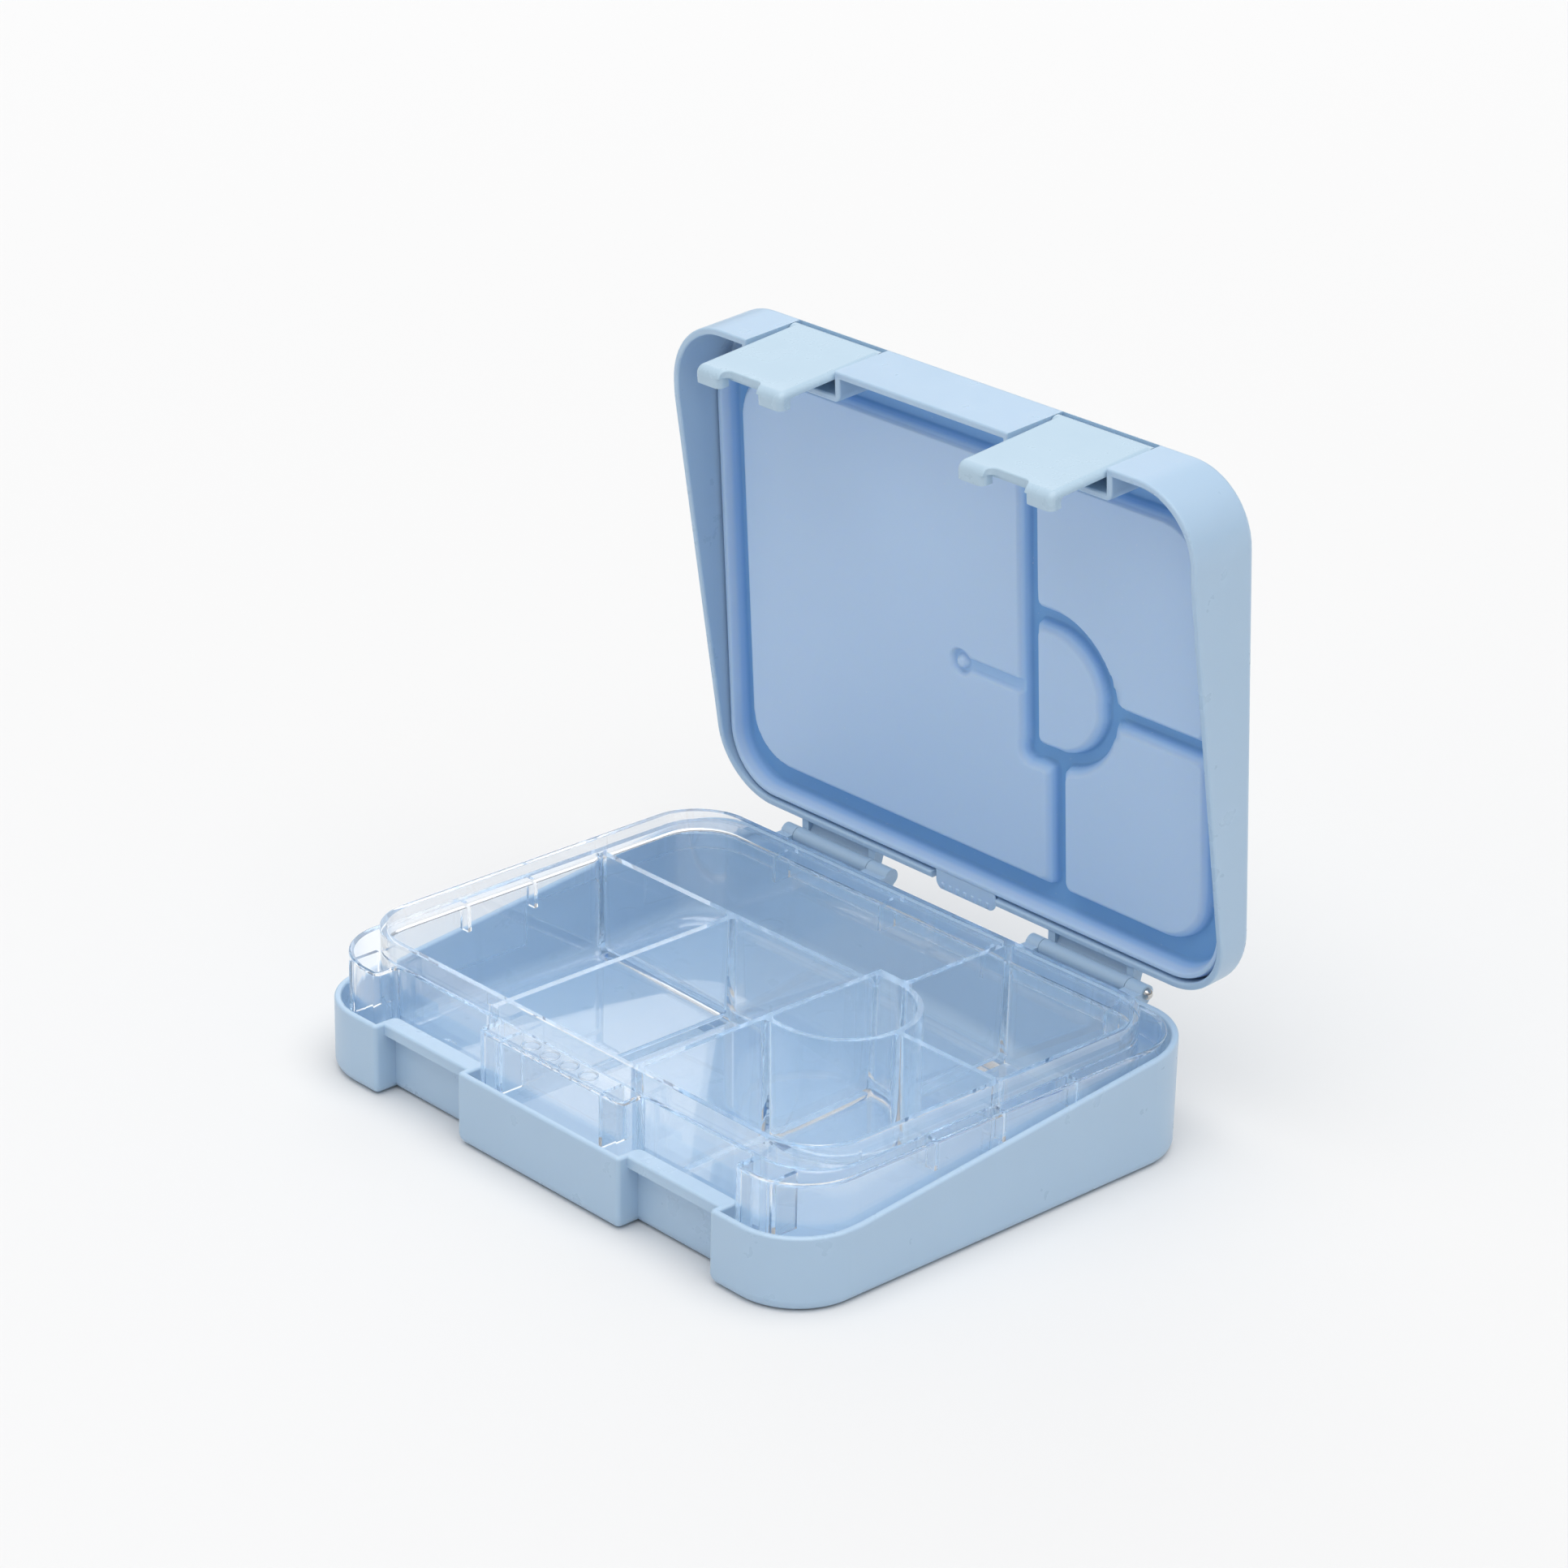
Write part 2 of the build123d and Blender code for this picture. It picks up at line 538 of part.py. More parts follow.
os.makedirs("parts", exist_ok=True)
for node, shape in build().items():
    export_step(shape, "parts/" + node + ".step")
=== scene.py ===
import bpy
import math
import numpy as np
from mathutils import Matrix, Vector


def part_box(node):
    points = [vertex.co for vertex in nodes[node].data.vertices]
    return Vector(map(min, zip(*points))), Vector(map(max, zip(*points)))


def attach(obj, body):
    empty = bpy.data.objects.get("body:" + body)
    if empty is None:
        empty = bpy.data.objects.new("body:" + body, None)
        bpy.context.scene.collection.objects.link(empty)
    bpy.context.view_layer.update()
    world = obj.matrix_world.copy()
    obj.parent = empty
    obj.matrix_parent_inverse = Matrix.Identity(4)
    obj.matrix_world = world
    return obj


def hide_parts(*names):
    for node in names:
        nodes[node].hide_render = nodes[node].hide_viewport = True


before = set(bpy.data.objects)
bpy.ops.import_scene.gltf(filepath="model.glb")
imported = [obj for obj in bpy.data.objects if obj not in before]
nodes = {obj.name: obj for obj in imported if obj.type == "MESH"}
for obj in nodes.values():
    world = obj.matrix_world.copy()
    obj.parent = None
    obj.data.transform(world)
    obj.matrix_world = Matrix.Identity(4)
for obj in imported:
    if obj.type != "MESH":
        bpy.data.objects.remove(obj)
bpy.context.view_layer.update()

# ---- Studio: pale paper under a broad overhead light, with a large soft box behind the box ----
# and a weak one in front. The room is brighter above than below. None of it belongs to the box.
FLOOR_TONE = (0.80, 0.80, 0.80)
BACKDROP_TONE = (0.935, 0.935, 0.935)
ROOM_LOW_TONE = (0.26, 0.26, 0.265)
ROOM_HIGH_TONE = (0.74, 0.74, 0.74)
ROOM_HIGH_AT = 0.9
FLOOR_REACH = 12.0
PAPER_ROUGHNESS = 0.9
OVERHEAD_STRENGTH = 1.70
OVERHEAD_SPREAD = math.radians(70)
OVERHEAD_FROM = Vector((0.22, -0.10, 1.0))


def node_tree(owner):
    """The owner's node tree, emptied."""
    owner.use_nodes = True
    tree = owner.node_tree
    tree.nodes.clear()
    return tree


def add_node(tree, kind, settings=None, **sockets):
    """A node with its settings, and its inputs set by name or linked from another socket."""
    node = tree.nodes.new(kind)
    for name, value in (settings or {}).items():
        setattr(node, name, value)
    for name, value in sockets.items():
        plug(tree, node, name.replace("_", " "), value)
    return node


def plug(tree, node, name, value):
    """Link a socket into an input, or set the input to a plain value."""
    socket = node.inputs[int(name[1:])] if name[0] == "#" else node.inputs[name]
    if isinstance(value, bpy.types.NodeSocket):
        tree.links.new(value, socket)
    else:
        socket.default_value = value


def flat_material(name, colour, roughness):
    """A material with one even colour, for what isn't part of the box."""
    material = bpy.data.materials.new(name)
    tree = node_tree(material)
    shader = add_node(tree, "ShaderNodeBsdfPrincipled", Base_Color=(*colour, 1),
                      Roughness=roughness)
    add_node(tree, "ShaderNodeOutputMaterial", Surface=shader.outputs[0])
    return material


def softbox(name, place, aim, size, watts):
    """A rectangular area light that faces a point."""
    light = bpy.data.lights.new(name, "AREA")
    light.shape = "RECTANGLE"
    light.size, light.size_y = size
    light.energy = watts
    lamp = bpy.data.objects.new(name, light)
    lamp.location = place
    lamp.rotation_euler = (Vector(aim) - Vector(place)).to_track_quat("-Z", "Y").to_euler()
    bpy.context.scene.collection.objects.link(lamp)


def link_mesh(name, points, faces, smooth=True):
    """A mesh object at the origin from points in metres and lists of corner numbers."""
    mesh = bpy.data.meshes.new(name)
    mesh.from_pydata(points, [], faces)
    mesh.update()
    mesh.polygons.foreach_set("use_smooth", np.full(len(mesh.polygons), smooth))
    piece = bpy.data.objects.new(name, mesh)
    bpy.context.scene.collection.objects.link(piece)
    return piece


floor_corners = [(x * FLOOR_REACH, y * FLOOR_REACH, 0)
                 for x, y in ((-1, -1), (1, -1), (1, 1), (-1, 1))]
floor = link_mesh("studio_floor", floor_corners, [(0, 1, 2, 3)], False)
floor.data.materials.append(flat_material("studio_paper", FLOOR_TONE, PAPER_ROUGHNESS))

world = bpy.data.worlds.new("studio_room")
bpy.context.scene.world = world
room = node_tree(world)
seen = add_node(room, "ShaderNodeLightPath")
rise = add_node(room, "ShaderNodeSeparateXYZ",
                Vector=add_node(room, "ShaderNodeTexCoord").outputs["Generated"])
climb = add_node(room, "ShaderNodeMapRange", {"interpolation_type": "SMOOTHSTEP"},
                 Value=rise.outputs["Z"], From_Min=0.0, From_Max=ROOM_HIGH_AT)
above = add_node(room, "ShaderNodeMix", {"data_type": "RGBA"})
plug(room, above, "#0", climb.outputs[0])
plug(room, above, "#6", (*ROOM_LOW_TONE, 1))
plug(room, above, "#7", (*ROOM_HIGH_TONE, 1))
tone = add_node(room, "ShaderNodeMix", {"data_type": "RGBA"})
plug(room, tone, "#0", seen.outputs["Is Camera Ray"])
plug(room, tone, "#6", above.outputs[2])
plug(room, tone, "#7", (*BACKDROP_TONE, 1))
backdrop = add_node(room, "ShaderNodeBackground", Color=tone.outputs[2])
add_node(room, "ShaderNodeOutputWorld", Surface=backdrop.outputs[0])

softbox("light_back", place=(-2.5, 2.3, 1.7), aim=(0.0, 0.02, 0.05), size=(2.4, 1.6), watts=10.0)
softbox("light_front", place=(-0.45, -1.7, 0.80), aim=(0.0, 0.05, 0.10), size=(1.3, 0.7),
        watts=1.2)
sky = bpy.data.lights.new("light_overhead", "SUN")
sky.energy = OVERHEAD_STRENGTH
sky.angle = OVERHEAD_SPREAD
sky_lamp = bpy.data.objects.new("light_overhead", sky)
sky_lamp.rotation_euler = OVERHEAD_FROM.to_track_quat("Z", "Y").to_euler()
bpy.context.scene.collection.objects.link(sky_lamp)
bpy.context.scene.view_settings.view_transform = "Standard"

# The camera looks down over the box's right front corner with a long lens.
CAMERA_TURN = math.radians(49.37)
CAMERA_RISE = math.radians(25.10)
CAMERA_AWAY = 1.44251
CAMERA_ACROSS = -0.05244
CAMERA_UP = 0.05868
CAMERA_LENS = 110.93
CAMERA_SHIFT = (0.1356, 0.0771)
CAMERA_REACH = 60
back = Vector((math.sin(CAMERA_TURN) * math.cos(CAMERA_RISE),
               -math.cos(CAMERA_TURN) * math.cos(CAMERA_RISE), math.sin(CAMERA_RISE)))
across = Vector((math.cos(CAMERA_TURN), math.sin(CAMERA_TURN), 0))
up = back.cross(across)
camera_data = bpy.data.cameras.new("studio_camera")
camera_data.lens = CAMERA_LENS
camera_data.shift_x, camera_data.shift_y = CAMERA_SHIFT
camera_data.clip_end = CAMERA_REACH
camera = bpy.data.objects.new("studio_camera", camera_data)
camera.location = back * CAMERA_AWAY + across * CAMERA_ACROSS + up * CAMERA_UP
camera.rotation_euler = back.to_track_quat("Z", "Y").to_euler()
bpy.context.scene.collection.objects.link(camera)
bpy.context.scene.camera = camera

# ---- Base shell: the lower half, moulded in one piece from pale blue polypropylene. ----
# Satin spark-eroded faces with a faint flow mottle, edges made a little lighter and smoother,
# partly rubbed by handling and partly a painted highlight along the rims, and grey scuffs under
# the foot.
# Z is measured up from the underside.
SHELL_BLUE = (0.420, 0.575, 0.740)
SHELL_EDGE_WEAR_AND_HIGHLIGHT = (0.540, 0.690, 0.850)
MM = 0.001
RIM_FRONT_Z = 23.4 * MM
RIM_BACK_Z = 37.6 * MM
SLOPE_FRONT_Y = -56.0 * MM
BACK_FACE_Y = 82.5 * MM
TOP_Z = 0.0470
RIM_BAND = 0.0013
FOOT_BAND = 0.0035
TOP_BAND = 0.0016
SCUFF_TOP = 0.0012
SCUFF_GREY = (0.30, 0.36, 0.43)
PLASTIC_IOR = 1.49


def start_group(name, inputs, outputs):
    """A new shader node group with typed inputs and outputs, and its two end nodes."""
    tree = bpy.data.node_groups.new(name, "ShaderNodeTree")
    for label, kind, value in inputs:
        socket = tree.interface.new_socket(label, in_out="INPUT", socket_type="NodeSocket" + kind)
        if value is not None:
            socket.default_value = value
    for label, kind in outputs:
        tree.interface.new_socket(label, in_out="OUTPUT", socket_type="NodeSocket" + kind)
    return tree, add_node(tree, "NodeGroupInput"), add_node(tree, "NodeGroupOutput")


def math_node(tree, operation, first, second=0.0, third=0.0, clamp=False):
    """The result of one sum on values or sockets."""
    node = add_node(tree, "ShaderNodeMath", {"operation": operation, "use_clamp": clamp})
    for place, value in zip(("#0", "#1", "#2"), (first, second, third)):
        plug(tree, node, place, value)
    return node.outputs[0]


def ramp(tree, value, low, high, out_low=0.0, out_high=1.0):
    """A value carried smoothly from one range to another and held at its ends."""
    node = add_node(tree, "ShaderNodeMapRange", {"interpolation_type": "SMOOTHSTEP"}, Value=value,
                    From_Min=low, From_Max=high, To_Min=out_low, To_Max=out_high)
    return node.outputs[0]


def noise(tree, where, scale, detail=2.0, roughness=0.5):
    """Soft noise between 0 and 1."""
    node = add_node(tree, "ShaderNodeTexNoise", Vector=where, Scale=scale, Detail=detail,
                    Roughness=roughness)
    return node.outputs[0]


def blend_colour(tree, share, first, second):
    """Two colours mixed by a share."""
    node = add_node(tree, "ShaderNodeMix", {"data_type": "RGBA"})
    for place, value in (("#0", share), ("#6", first), ("#7", second)):
        plug(tree, node, place, value)
    return node.outputs[2]


def build_moulded_skin():
    """Group: flow mottle in the colour, cloudy gloss, and a fine eroded grain as height."""
    tree, given, out = start_group("moulded_skin", (
        ("Place", "Vector", None), ("Colour", "Color", (0.5, 0.5, 0.5, 1)),
        ("Mottle", "Float", 0.03), ("Gloss Low", "Float", 0.30), ("Gloss High", "Float", 0.42),
        ("Grain Size", "Float", 1400.0)),
        (("Colour", "Color"), ("Roughness", "Float"), ("Height", "Float")))
    place = given.outputs["Place"]
    flow = noise(tree, place, 14.0, 3.0, 0.55)
    shift = math_node(tree, "MULTIPLY_ADD", math_node(tree, "SUBTRACT", flow, 0.5),
                      math_node(tree, "MULTIPLY", given.outputs["Mottle"], 2.0), 1.0)
    tinted = add_node(tree, "ShaderNodeVectorMath", {"operation": "SCALE"}, Scale=shift)
    plug(tree, tinted, "#0", given.outputs["Colour"])
    plug(tree, out, "Colour", tinted.outputs[0])
    cloud = noise(tree, place, 75.0, 4.0, 0.6)
    gloss = add_node(tree, "ShaderNodeMapRange", Value=cloud, From_Min=0.3, From_Max=0.7,
                     To_Min=given.outputs["Gloss Low"], To_Max=given.outputs["Gloss High"])
    plug(tree, out, "Roughness", gloss.outputs[0])
    grain = noise(tree, place, given.outputs["Grain Size"], 2.0, 0.6)
    sink = noise(tree, place, 55.0, 1.0, 0.4)
    soft_grain = math_node(tree, "MULTIPLY", grain, 0.12)
    plug(tree, out, "Height", math_node(tree, "MULTIPLY_ADD", sink, 6.0, soft_grain))
    return tree


def build_lighter_edge_mask():
    """Group: a mask that is strong near an edge and broken up by streaks and specks."""
    tree, given, out = start_group("lighter_edge_mask", (
        ("Place", "Vector", None), ("Nearness", "Float", 0.0), ("Strength", "Float", 0.6),
        ("Streaks", "Float", 220.0)), (("Mask", "Float"),))
    streak = noise(tree, given.outputs["Place"], given.outputs["Streaks"], 4.0, 0.65)
    broken = ramp(tree, streak, 0.25, 0.75, 0.45, 1.0)
    mask = math_node(tree, "MULTIPLY", given.outputs["Nearness"], broken)
    mask = math_node(tree, "MULTIPLY", mask, given.outputs["Strength"], 0.0, True)
    plug(tree, out, "Mask", mask)
    return tree


moulded_skin = build_moulded_skin()
lighter_edge_mask = build_lighter_edge_mask()


def use_group(tree, group, **sockets):
    """A group placed in a material's tree with its own values."""
    return add_node(tree, "ShaderNodeGroup", {"node_tree": group}, **sockets)


def near(tree, value, middle, reach):
    """1 where a value is at the middle, falling to 0 at a reach from it."""
    return ramp(tree, math_node(tree, "ABSOLUTE", math_node(tree, "SUBTRACT", value, middle)),
                reach, 0.0)


def shell_material(name, closed_turn, closed_shift):
    """Pale blue moulding: a mapping turns it to the closed box, where the edges are known."""
    material = bpy.data.materials.new(name)
    tree = node_tree(material)
    place = add_node(tree, "ShaderNodeTexCoord").outputs["Object"]
    closed = add_node(tree, "ShaderNodeMapping", Vector=place, Rotation=closed_turn,
                      Location=closed_shift).outputs[0]
    split = add_node(tree, "ShaderNodeSeparateXYZ", Vector=closed)
    rim = add_node(tree, "ShaderNodeMapRange", Value=split.outputs["Y"], From_Min=SLOPE_FRONT_Y,
                   From_Max=BACK_FACE_Y, To_Min=RIM_FRONT_Z, To_Max=RIM_BACK_Z).outputs[0]
    height = split.outputs["Z"]
    at_rim = near(tree, math_node(tree, "SUBTRACT", height, rim), 0.0, RIM_BAND)
    at_foot = ramp(tree, height, FOOT_BAND, 0.0)
    at_top = near(tree, height, TOP_Z, TOP_BAND)
    edges = math_node(tree, "MAXIMUM", math_node(tree, "MAXIMUM", at_rim, at_foot), at_top)
    # Rim, foot and top edges turn lighter: partly wear, partly a painted highlight along the
    # edges.
    edge_lightening = use_group(tree, lighter_edge_mask, Place=closed, Nearness=edges, Strength=0.35).outputs[0]
    skin = use_group(tree, moulded_skin, Place=closed, Colour=(*SHELL_BLUE, 1), Mottle=0.035,
                     Gloss_Low=0.26, Gloss_High=0.36)
    colour = blend_colour(tree, edge_lightening, skin.outputs["Colour"], (*SHELL_EDGE_WEAR_AND_HIGHLIGHT, 1))
    scuff = noise(tree, closed, 480.0, 5.0, 0.7)
    scuffed = math_node(tree, "MULTIPLY", ramp(tree, scuff, 0.60, 0.70),
                        ramp(tree, height, SCUFF_TOP, 0.0001))
    colour = blend_colour(tree, math_node(tree, "MULTIPLY", scuffed, 0.5), colour,
                          (*SCUFF_GREY, 1))
    rough = math_node(tree, "MULTIPLY_ADD", edge_lightening, -0.06, skin.outputs["Roughness"])
    rough = math_node(tree, "MULTIPLY_ADD", scuffed, 0.25, rough, True)
    bump = add_node(tree, "ShaderNodeBump", Height=skin.outputs["Height"], Strength=0.10,
                    Distance=0.00002)
    shader = add_node(tree, "ShaderNodeBsdfPrincipled", Base_Color=colour, Roughness=rough,
                      Normal=bump.outputs[0])
    shader.inputs["IOR"].default_value = PLASTIC_IOR
    shader.inputs["Subsurface Weight"].default_value = 0.12
    shader.inputs["Subsurface Radius"].default_value = (0.5, 0.8, 1.0)
    shader.inputs["Subsurface Scale"].default_value = 0.0025
    add_node(tree, "ShaderNodeOutputMaterial", Surface=shader.outputs[0])
    return material


def finish_node(name, material):
    """Give a carried-over CAD node its finish, keeping its mesh."""
    slots = nodes[name].material_slots
    if not slots:
        nodes[name].data.materials.append(material)
    for slot in slots:
        slot.material = material


finish_node("base_shell", shell_material("blue_moulding_base", (0, 0, 0), (0, 0, 0)))

# ---- Lid shell: the upper half, the same polypropylene, moulded apart and standing open. ----
# Its rim, ceiling and barrels are lightened as the base's are, by wear and a painted highlight,
# so its pattern is turned to the closed place about the hinge before the edges are found.
OPEN_TURN = math.radians(86.0)
HINGE = Vector((0.0, 87.8 * MM, 36.7 * MM))


def opened(points):
    """Points of the closed lid, turned about the hinge to its open place."""
    turned = np.array(points, float)
    y, z = turned[:, 1] - HINGE.y, turned[:, 2] - HINGE.z
    turned[:, 1] = HINGE.y + math.cos(OPEN_TURN) * y + math.sin(OPEN_TURN) * z
    turned[:, 2] = HINGE.z - math.sin(OPEN_TURN) * y + math.cos(OPEN_TURN) * z
    return turned


CLOSED_TURN = (OPEN_TURN, 0, 0)
CLOSED_SHIFT = (0.0,
                HINGE.y - (math.cos(OPEN_TURN) * HINGE.y - math.sin(OPEN_TURN) * HINGE.z),
                HINGE.z - (math.sin(OPEN_TURN) * HINGE.y + math.cos(OPEN_TURN) * HINGE.z))
finish_node("lid_shell", shell_material("blue_moulding_lid", CLOSED_TURN, CLOSED_SHIFT))

# A thin web closes the slot between each lid barrel and the lid's back wall: a curved line in Y
# and Z, made WEB_T thick and carried along X between the barrel's ends. Closed lid, millimetres.
WEB_SPANS = ((-72.2, -39.7), (35.9, 70.7))
WEB_END_GAP = 0.6
WEB_LINE = ((81.9, 41.9), (83.6, 41.7), (85.2, 41.1), (86.6, 40.3), (87.8, 39.0))
WEB_T = 1.1
for side, (start, end) in zip(("left", "right"), WEB_SPANS):
    line = np.array(WEB_LINE)
    run = np.gradient(line, axis=0)
    across_line = np.stack([run[:, 1], -run[:, 0]], -1) / np.linalg.norm(run, axis=1)[:, None]
    loop = np.concatenate([line, (line + WEB_T * across_line)[::-1]])
    count = len(loop)
    ends = [np.column_stack([np.full(count, x), loop])
            for x in (start + WEB_END_GAP, end - WEB_END_GAP)]
    number = np.arange(count)
    after = np.roll(number, -1)
    sides = np.stack([number, number + count, after + count, after], -1)
    web = link_mesh("lid_hinge_web_" + side, opened(np.concatenate(ends) * MM).tolist(),
                    sides.tolist() + [number.tolist(), (number + count)[::-1].tolist()], False)
    web.data.materials.append(nodes["lid_shell"].material_slots[0].material)
    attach(web, "lid")

# ---- Latches: two swing latches, moulded from a stiffer, slightly lighter blue. ----
# Each hangs on a steel pin; the plate and its two feet are handled most, so they are the
# smoothest and their lower edges the most rubbed. They hang level from the open lid's top.
LATCH_BLUE = (0.440, 0.595, 0.720)
LATCH_WORN = (0.570, 0.720, 0.850)
LATCH_FREE_BAND = 0.009
LATCH_SIDE_BAND = 0.0014


def latch_material(node_name):
    """Satin latch finish, with the wear growing towards the free edge of the feet."""
    low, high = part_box(node_name)
    material = bpy.data.materials.new(node_name + "_blue")
    tree = node_tree(material)
    place = add_node(tree, "ShaderNodeTexCoord").outputs["Object"]
    split = add_node(tree, "ShaderNodeSeparateXYZ", Vector=place)
    free_end = ramp(tree, split.outputs["Y"], low.y + LATCH_FREE_BAND, low.y)
    middle = (low.x + high.x) / 2
    half = (high.x - low.x) / 2
    side = ramp(tree, math_node(tree, "ABSOLUTE",
                                math_node(tree, "SUBTRACT", split.outputs["X"], middle)),
                half - LATCH_SIDE_BAND, half)
    nearness = math_node(tree, "MAXIMUM", free_end, side)
    edge_lightening = use_group(tree, lighter_edge_mask, Place=place, Nearness=nearness, Strength=0.3,
                     Streaks=300.0).outputs[0]
    skin = use_group(tree, moulded_skin, Place=place, Colour=(*LATCH_BLUE, 1), Mottle=0.02,
                     Gloss_Low=0.24, Gloss_High=0.34, Grain_Size=1500.0)
    colour = blend_colour(tree, edge_lightening, skin.outputs["Colour"], (*LATCH_WORN, 1))
    rough = math_node(tree, "MULTIPLY_ADD", edge_lightening, -0.05, skin.outputs["Roughness"], True)
    bump = add_node(tree, "ShaderNodeBump", Height=skin.outputs["Height"], Strength=0.08,
                    Distance=0.00002)
    shader = add_node(tree, "ShaderNodeBsdfPrincipled", Base_Color=colour, Roughness=rough,
                      Normal=bump.outputs[0])
    shader.inputs["IOR"].default_value = PLASTIC_IOR
    add_node(tree, "ShaderNodeOutputMaterial", Surface=shader.outputs[0])
    return material


for latch in ("latch_left", "latch_right"):
    finish_node(latch, latch_material(latch))

# ---- Pins: stainless rod, turned and polished, with a domed head on each hinge pin. ----
# Fine turning rings run round the rod.
STEEL = (0.66, 0.65, 0.63)
STEEL_DULL = (0.50, 0.49, 0.48)
RING_STRETCH = (9000.0, 300.0, 300.0)


def steel_material():
    """Polished steel with fine rings along X and faint blotches."""
    material = bpy.data.materials.new("polished_pin_steel")
    tree = node_tree(material)
    place = add_node(tree, "ShaderNodeTexCoord").outputs["Object"]
    rings = add_node(tree, "ShaderNodeTexNoise", Vector=add_node(
        tree, "ShaderNodeMapping", Vector=place, Scale=RING_STRETCH).outputs[0],
        Scale=1.0, Detail=2.0).outputs[0]
    blotch = noise(tree, place, 900.0, 3.0, 0.6)
    colour = blend_colour(tree, ramp(tree, blotch, 0.4, 0.7), (*STEEL, 1), (*STEEL_DULL, 1))
    rough = ramp(tree, rings, 0.3, 0.8, 0.12, 0.26)
    bump = add_node(tree, "ShaderNodeBump", Height=rings, Strength=0.15, Distance=0.00002)
    shader = add_node(tree, "ShaderNodeBsdfPrincipled", Base_Color=colour, Roughness=rough,
                      Normal=bump.outputs[0])
    shader.inputs["Metallic"].default_value = 1.0
    add_node(tree, "ShaderNodeOutputMaterial", Surface=shader.outputs[0])
    return material


pin_steel = steel_material()
for pin in ("latch_pin_left", "latch_pin_right", "hinge_pin_left", "hinge_pin_right"):
    finish_node(pin, pin_steel)

# ---- Tray: one clear copolyester moulding with six pockets, polished all over. ----
# It stays crystal clear, with only faint ripples from the mould and a few hairline scratches.
# It lets light through to the base, so it casts no shadow of its own.
CLEAR_IOR = 1.38
CLEAR_COAT_IOR = 1.57
HAIRLINE_TURN = (0.3, 0.2, 0.9)
HAIRLINE_STRETCH = (2600.0, 70.0, 300.0)
LAST_BENT_RAY = 4.5  # past it a ray goes straight on, or light trapped in the walls turns black


def clear_material():
    """Clear plastic: plain transmission, hairline ripples and scratches in its surface."""
    material = bpy.data.materials.new("clear_copolyester")
    tree = node_tree(material)
    place = add_node(tree, "ShaderNodeTexCoord").outputs["Object"]
    ripple = noise(tree, place, 38.0, 2.0, 0.5)
    stretched = add_node(tree, "ShaderNodeMapping", Vector=place, Rotation=HAIRLINE_TURN,
                         Scale=HAIRLINE_STRETCH).outputs[0]
    hairline = noise(tree, stretched, 1.0, 2.0, 0.5)
    scratch = ramp(tree, hairline, 0.72, 0.80)
    rough = math_node(tree, "MULTIPLY_ADD", scratch, 0.10,
                      ramp(tree, ripple, 0.3, 0.7, 0.012, 0.03))
    height = math_node(tree, "MULTIPLY_ADD", scratch, -0.02, ripple)
    bump = add_node(tree, "ShaderNodeBump", Height=height, Strength=0.25, Distance=0.00012)
    tint = blend_colour(tree, ramp(tree, ripple, 0.3, 0.7), (0.985, 0.992, 1.0, 1),
                        (0.965, 0.985, 1.0, 1))
    shader = add_node(tree, "ShaderNodeBsdfPrincipled", Base_Color=tint, Roughness=rough,
                      Normal=bump.outputs[0])
    shader.inputs["IOR"].default_value = CLEAR_IOR
    shader.inputs["Transmission Weight"].default_value = 1.0
    shader.inputs["Coat Weight"].default_value = 1.0
    shader.inputs["Coat Roughness"].default_value = 0.03
    shader.inputs["Coat IOR"].default_value = CLEAR_COAT_IOR
    straight = add_node(tree, "ShaderNodeBsdfTransparent", Color=(0.99, 0.995, 1.0, 1))
    mixed = add_node(tree, "ShaderNodeMixShader")
    depth = add_node(tree, "ShaderNodeLightPath").outputs["Ray Depth"]
    plug(tree, mixed, "#0", math_node(tree, "GREATER_THAN", depth, LAST_BENT_RAY))
    plug(tree, mixed, "#1", shader.outputs[0])
    plug(tree, mixed, "#2", straight.outputs[0])
    add_node(tree, "ShaderNodeOutputMaterial", Surface=mixed.outputs[0])
    return material


clear_copolyester = clear_material()
finish_node("tray", clear_copolyester)
nodes["tray"].visible_shadow = False
nodes["tray"].visible_diffuse = False

# Four plain moulded rings lie on the tray's centre tab, each a thin bead bent into a circle.
RING_AROUND = 40
RING_ACROSS = 8
RING_R = 2.7 * MM
RING_BEAD = 0.32 * MM
RING_PITCH = 8.4 * MM
RING_Y = -73.6 * MM
TAB_TOP_Z = 38.0 * MM


def ring_grid(x_middle):
    """A torus: a small bead circle carried round a larger one, as a closed grid of corners."""
    turn, bead = np.meshgrid(np.linspace(0, 2 * np.pi, RING_AROUND, endpoint=False),
                             np.linspace(0, 2 * np.pi, RING_ACROSS, endpoint=False),
                             indexing="ij")
    radius = RING_R + RING_BEAD * np.cos(bead)
    points = np.stack([x_middle + radius * np.cos(turn), RING_Y + radius * np.sin(turn),
                       TAB_TOP_Z + RING_BEAD * np.sin(bead) + 0.1 * RING_BEAD], -1).reshape(-1, 3)
    first = np.arange(RING_AROUND * RING_ACROSS).reshape(RING_AROUND, RING_ACROSS)
    second = np.roll(first, -1, 0)
    faces = np.stack([first, second, np.roll(second, -1, 1), np.roll(first, -1, 1)], -1)
    return points, faces.reshape(-1, 4)


ring_points, ring_faces = [], []
for step in (-1.5, -0.5, 0.5, 1.5):
    points, faces = ring_grid(step * RING_PITCH)
    ring_faces.append(faces + RING_AROUND * RING_ACROSS * len(ring_points))
    ring_points.append(points)
rings = link_mesh("tray_rings", np.concatenate(ring_points).tolist(),
                  np.concatenate(ring_faces).tolist())
rings.data.materials.append(clear_copolyester)
rings.visible_shadow = False
rings.visible_diffuse = False
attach(rings, "tray")

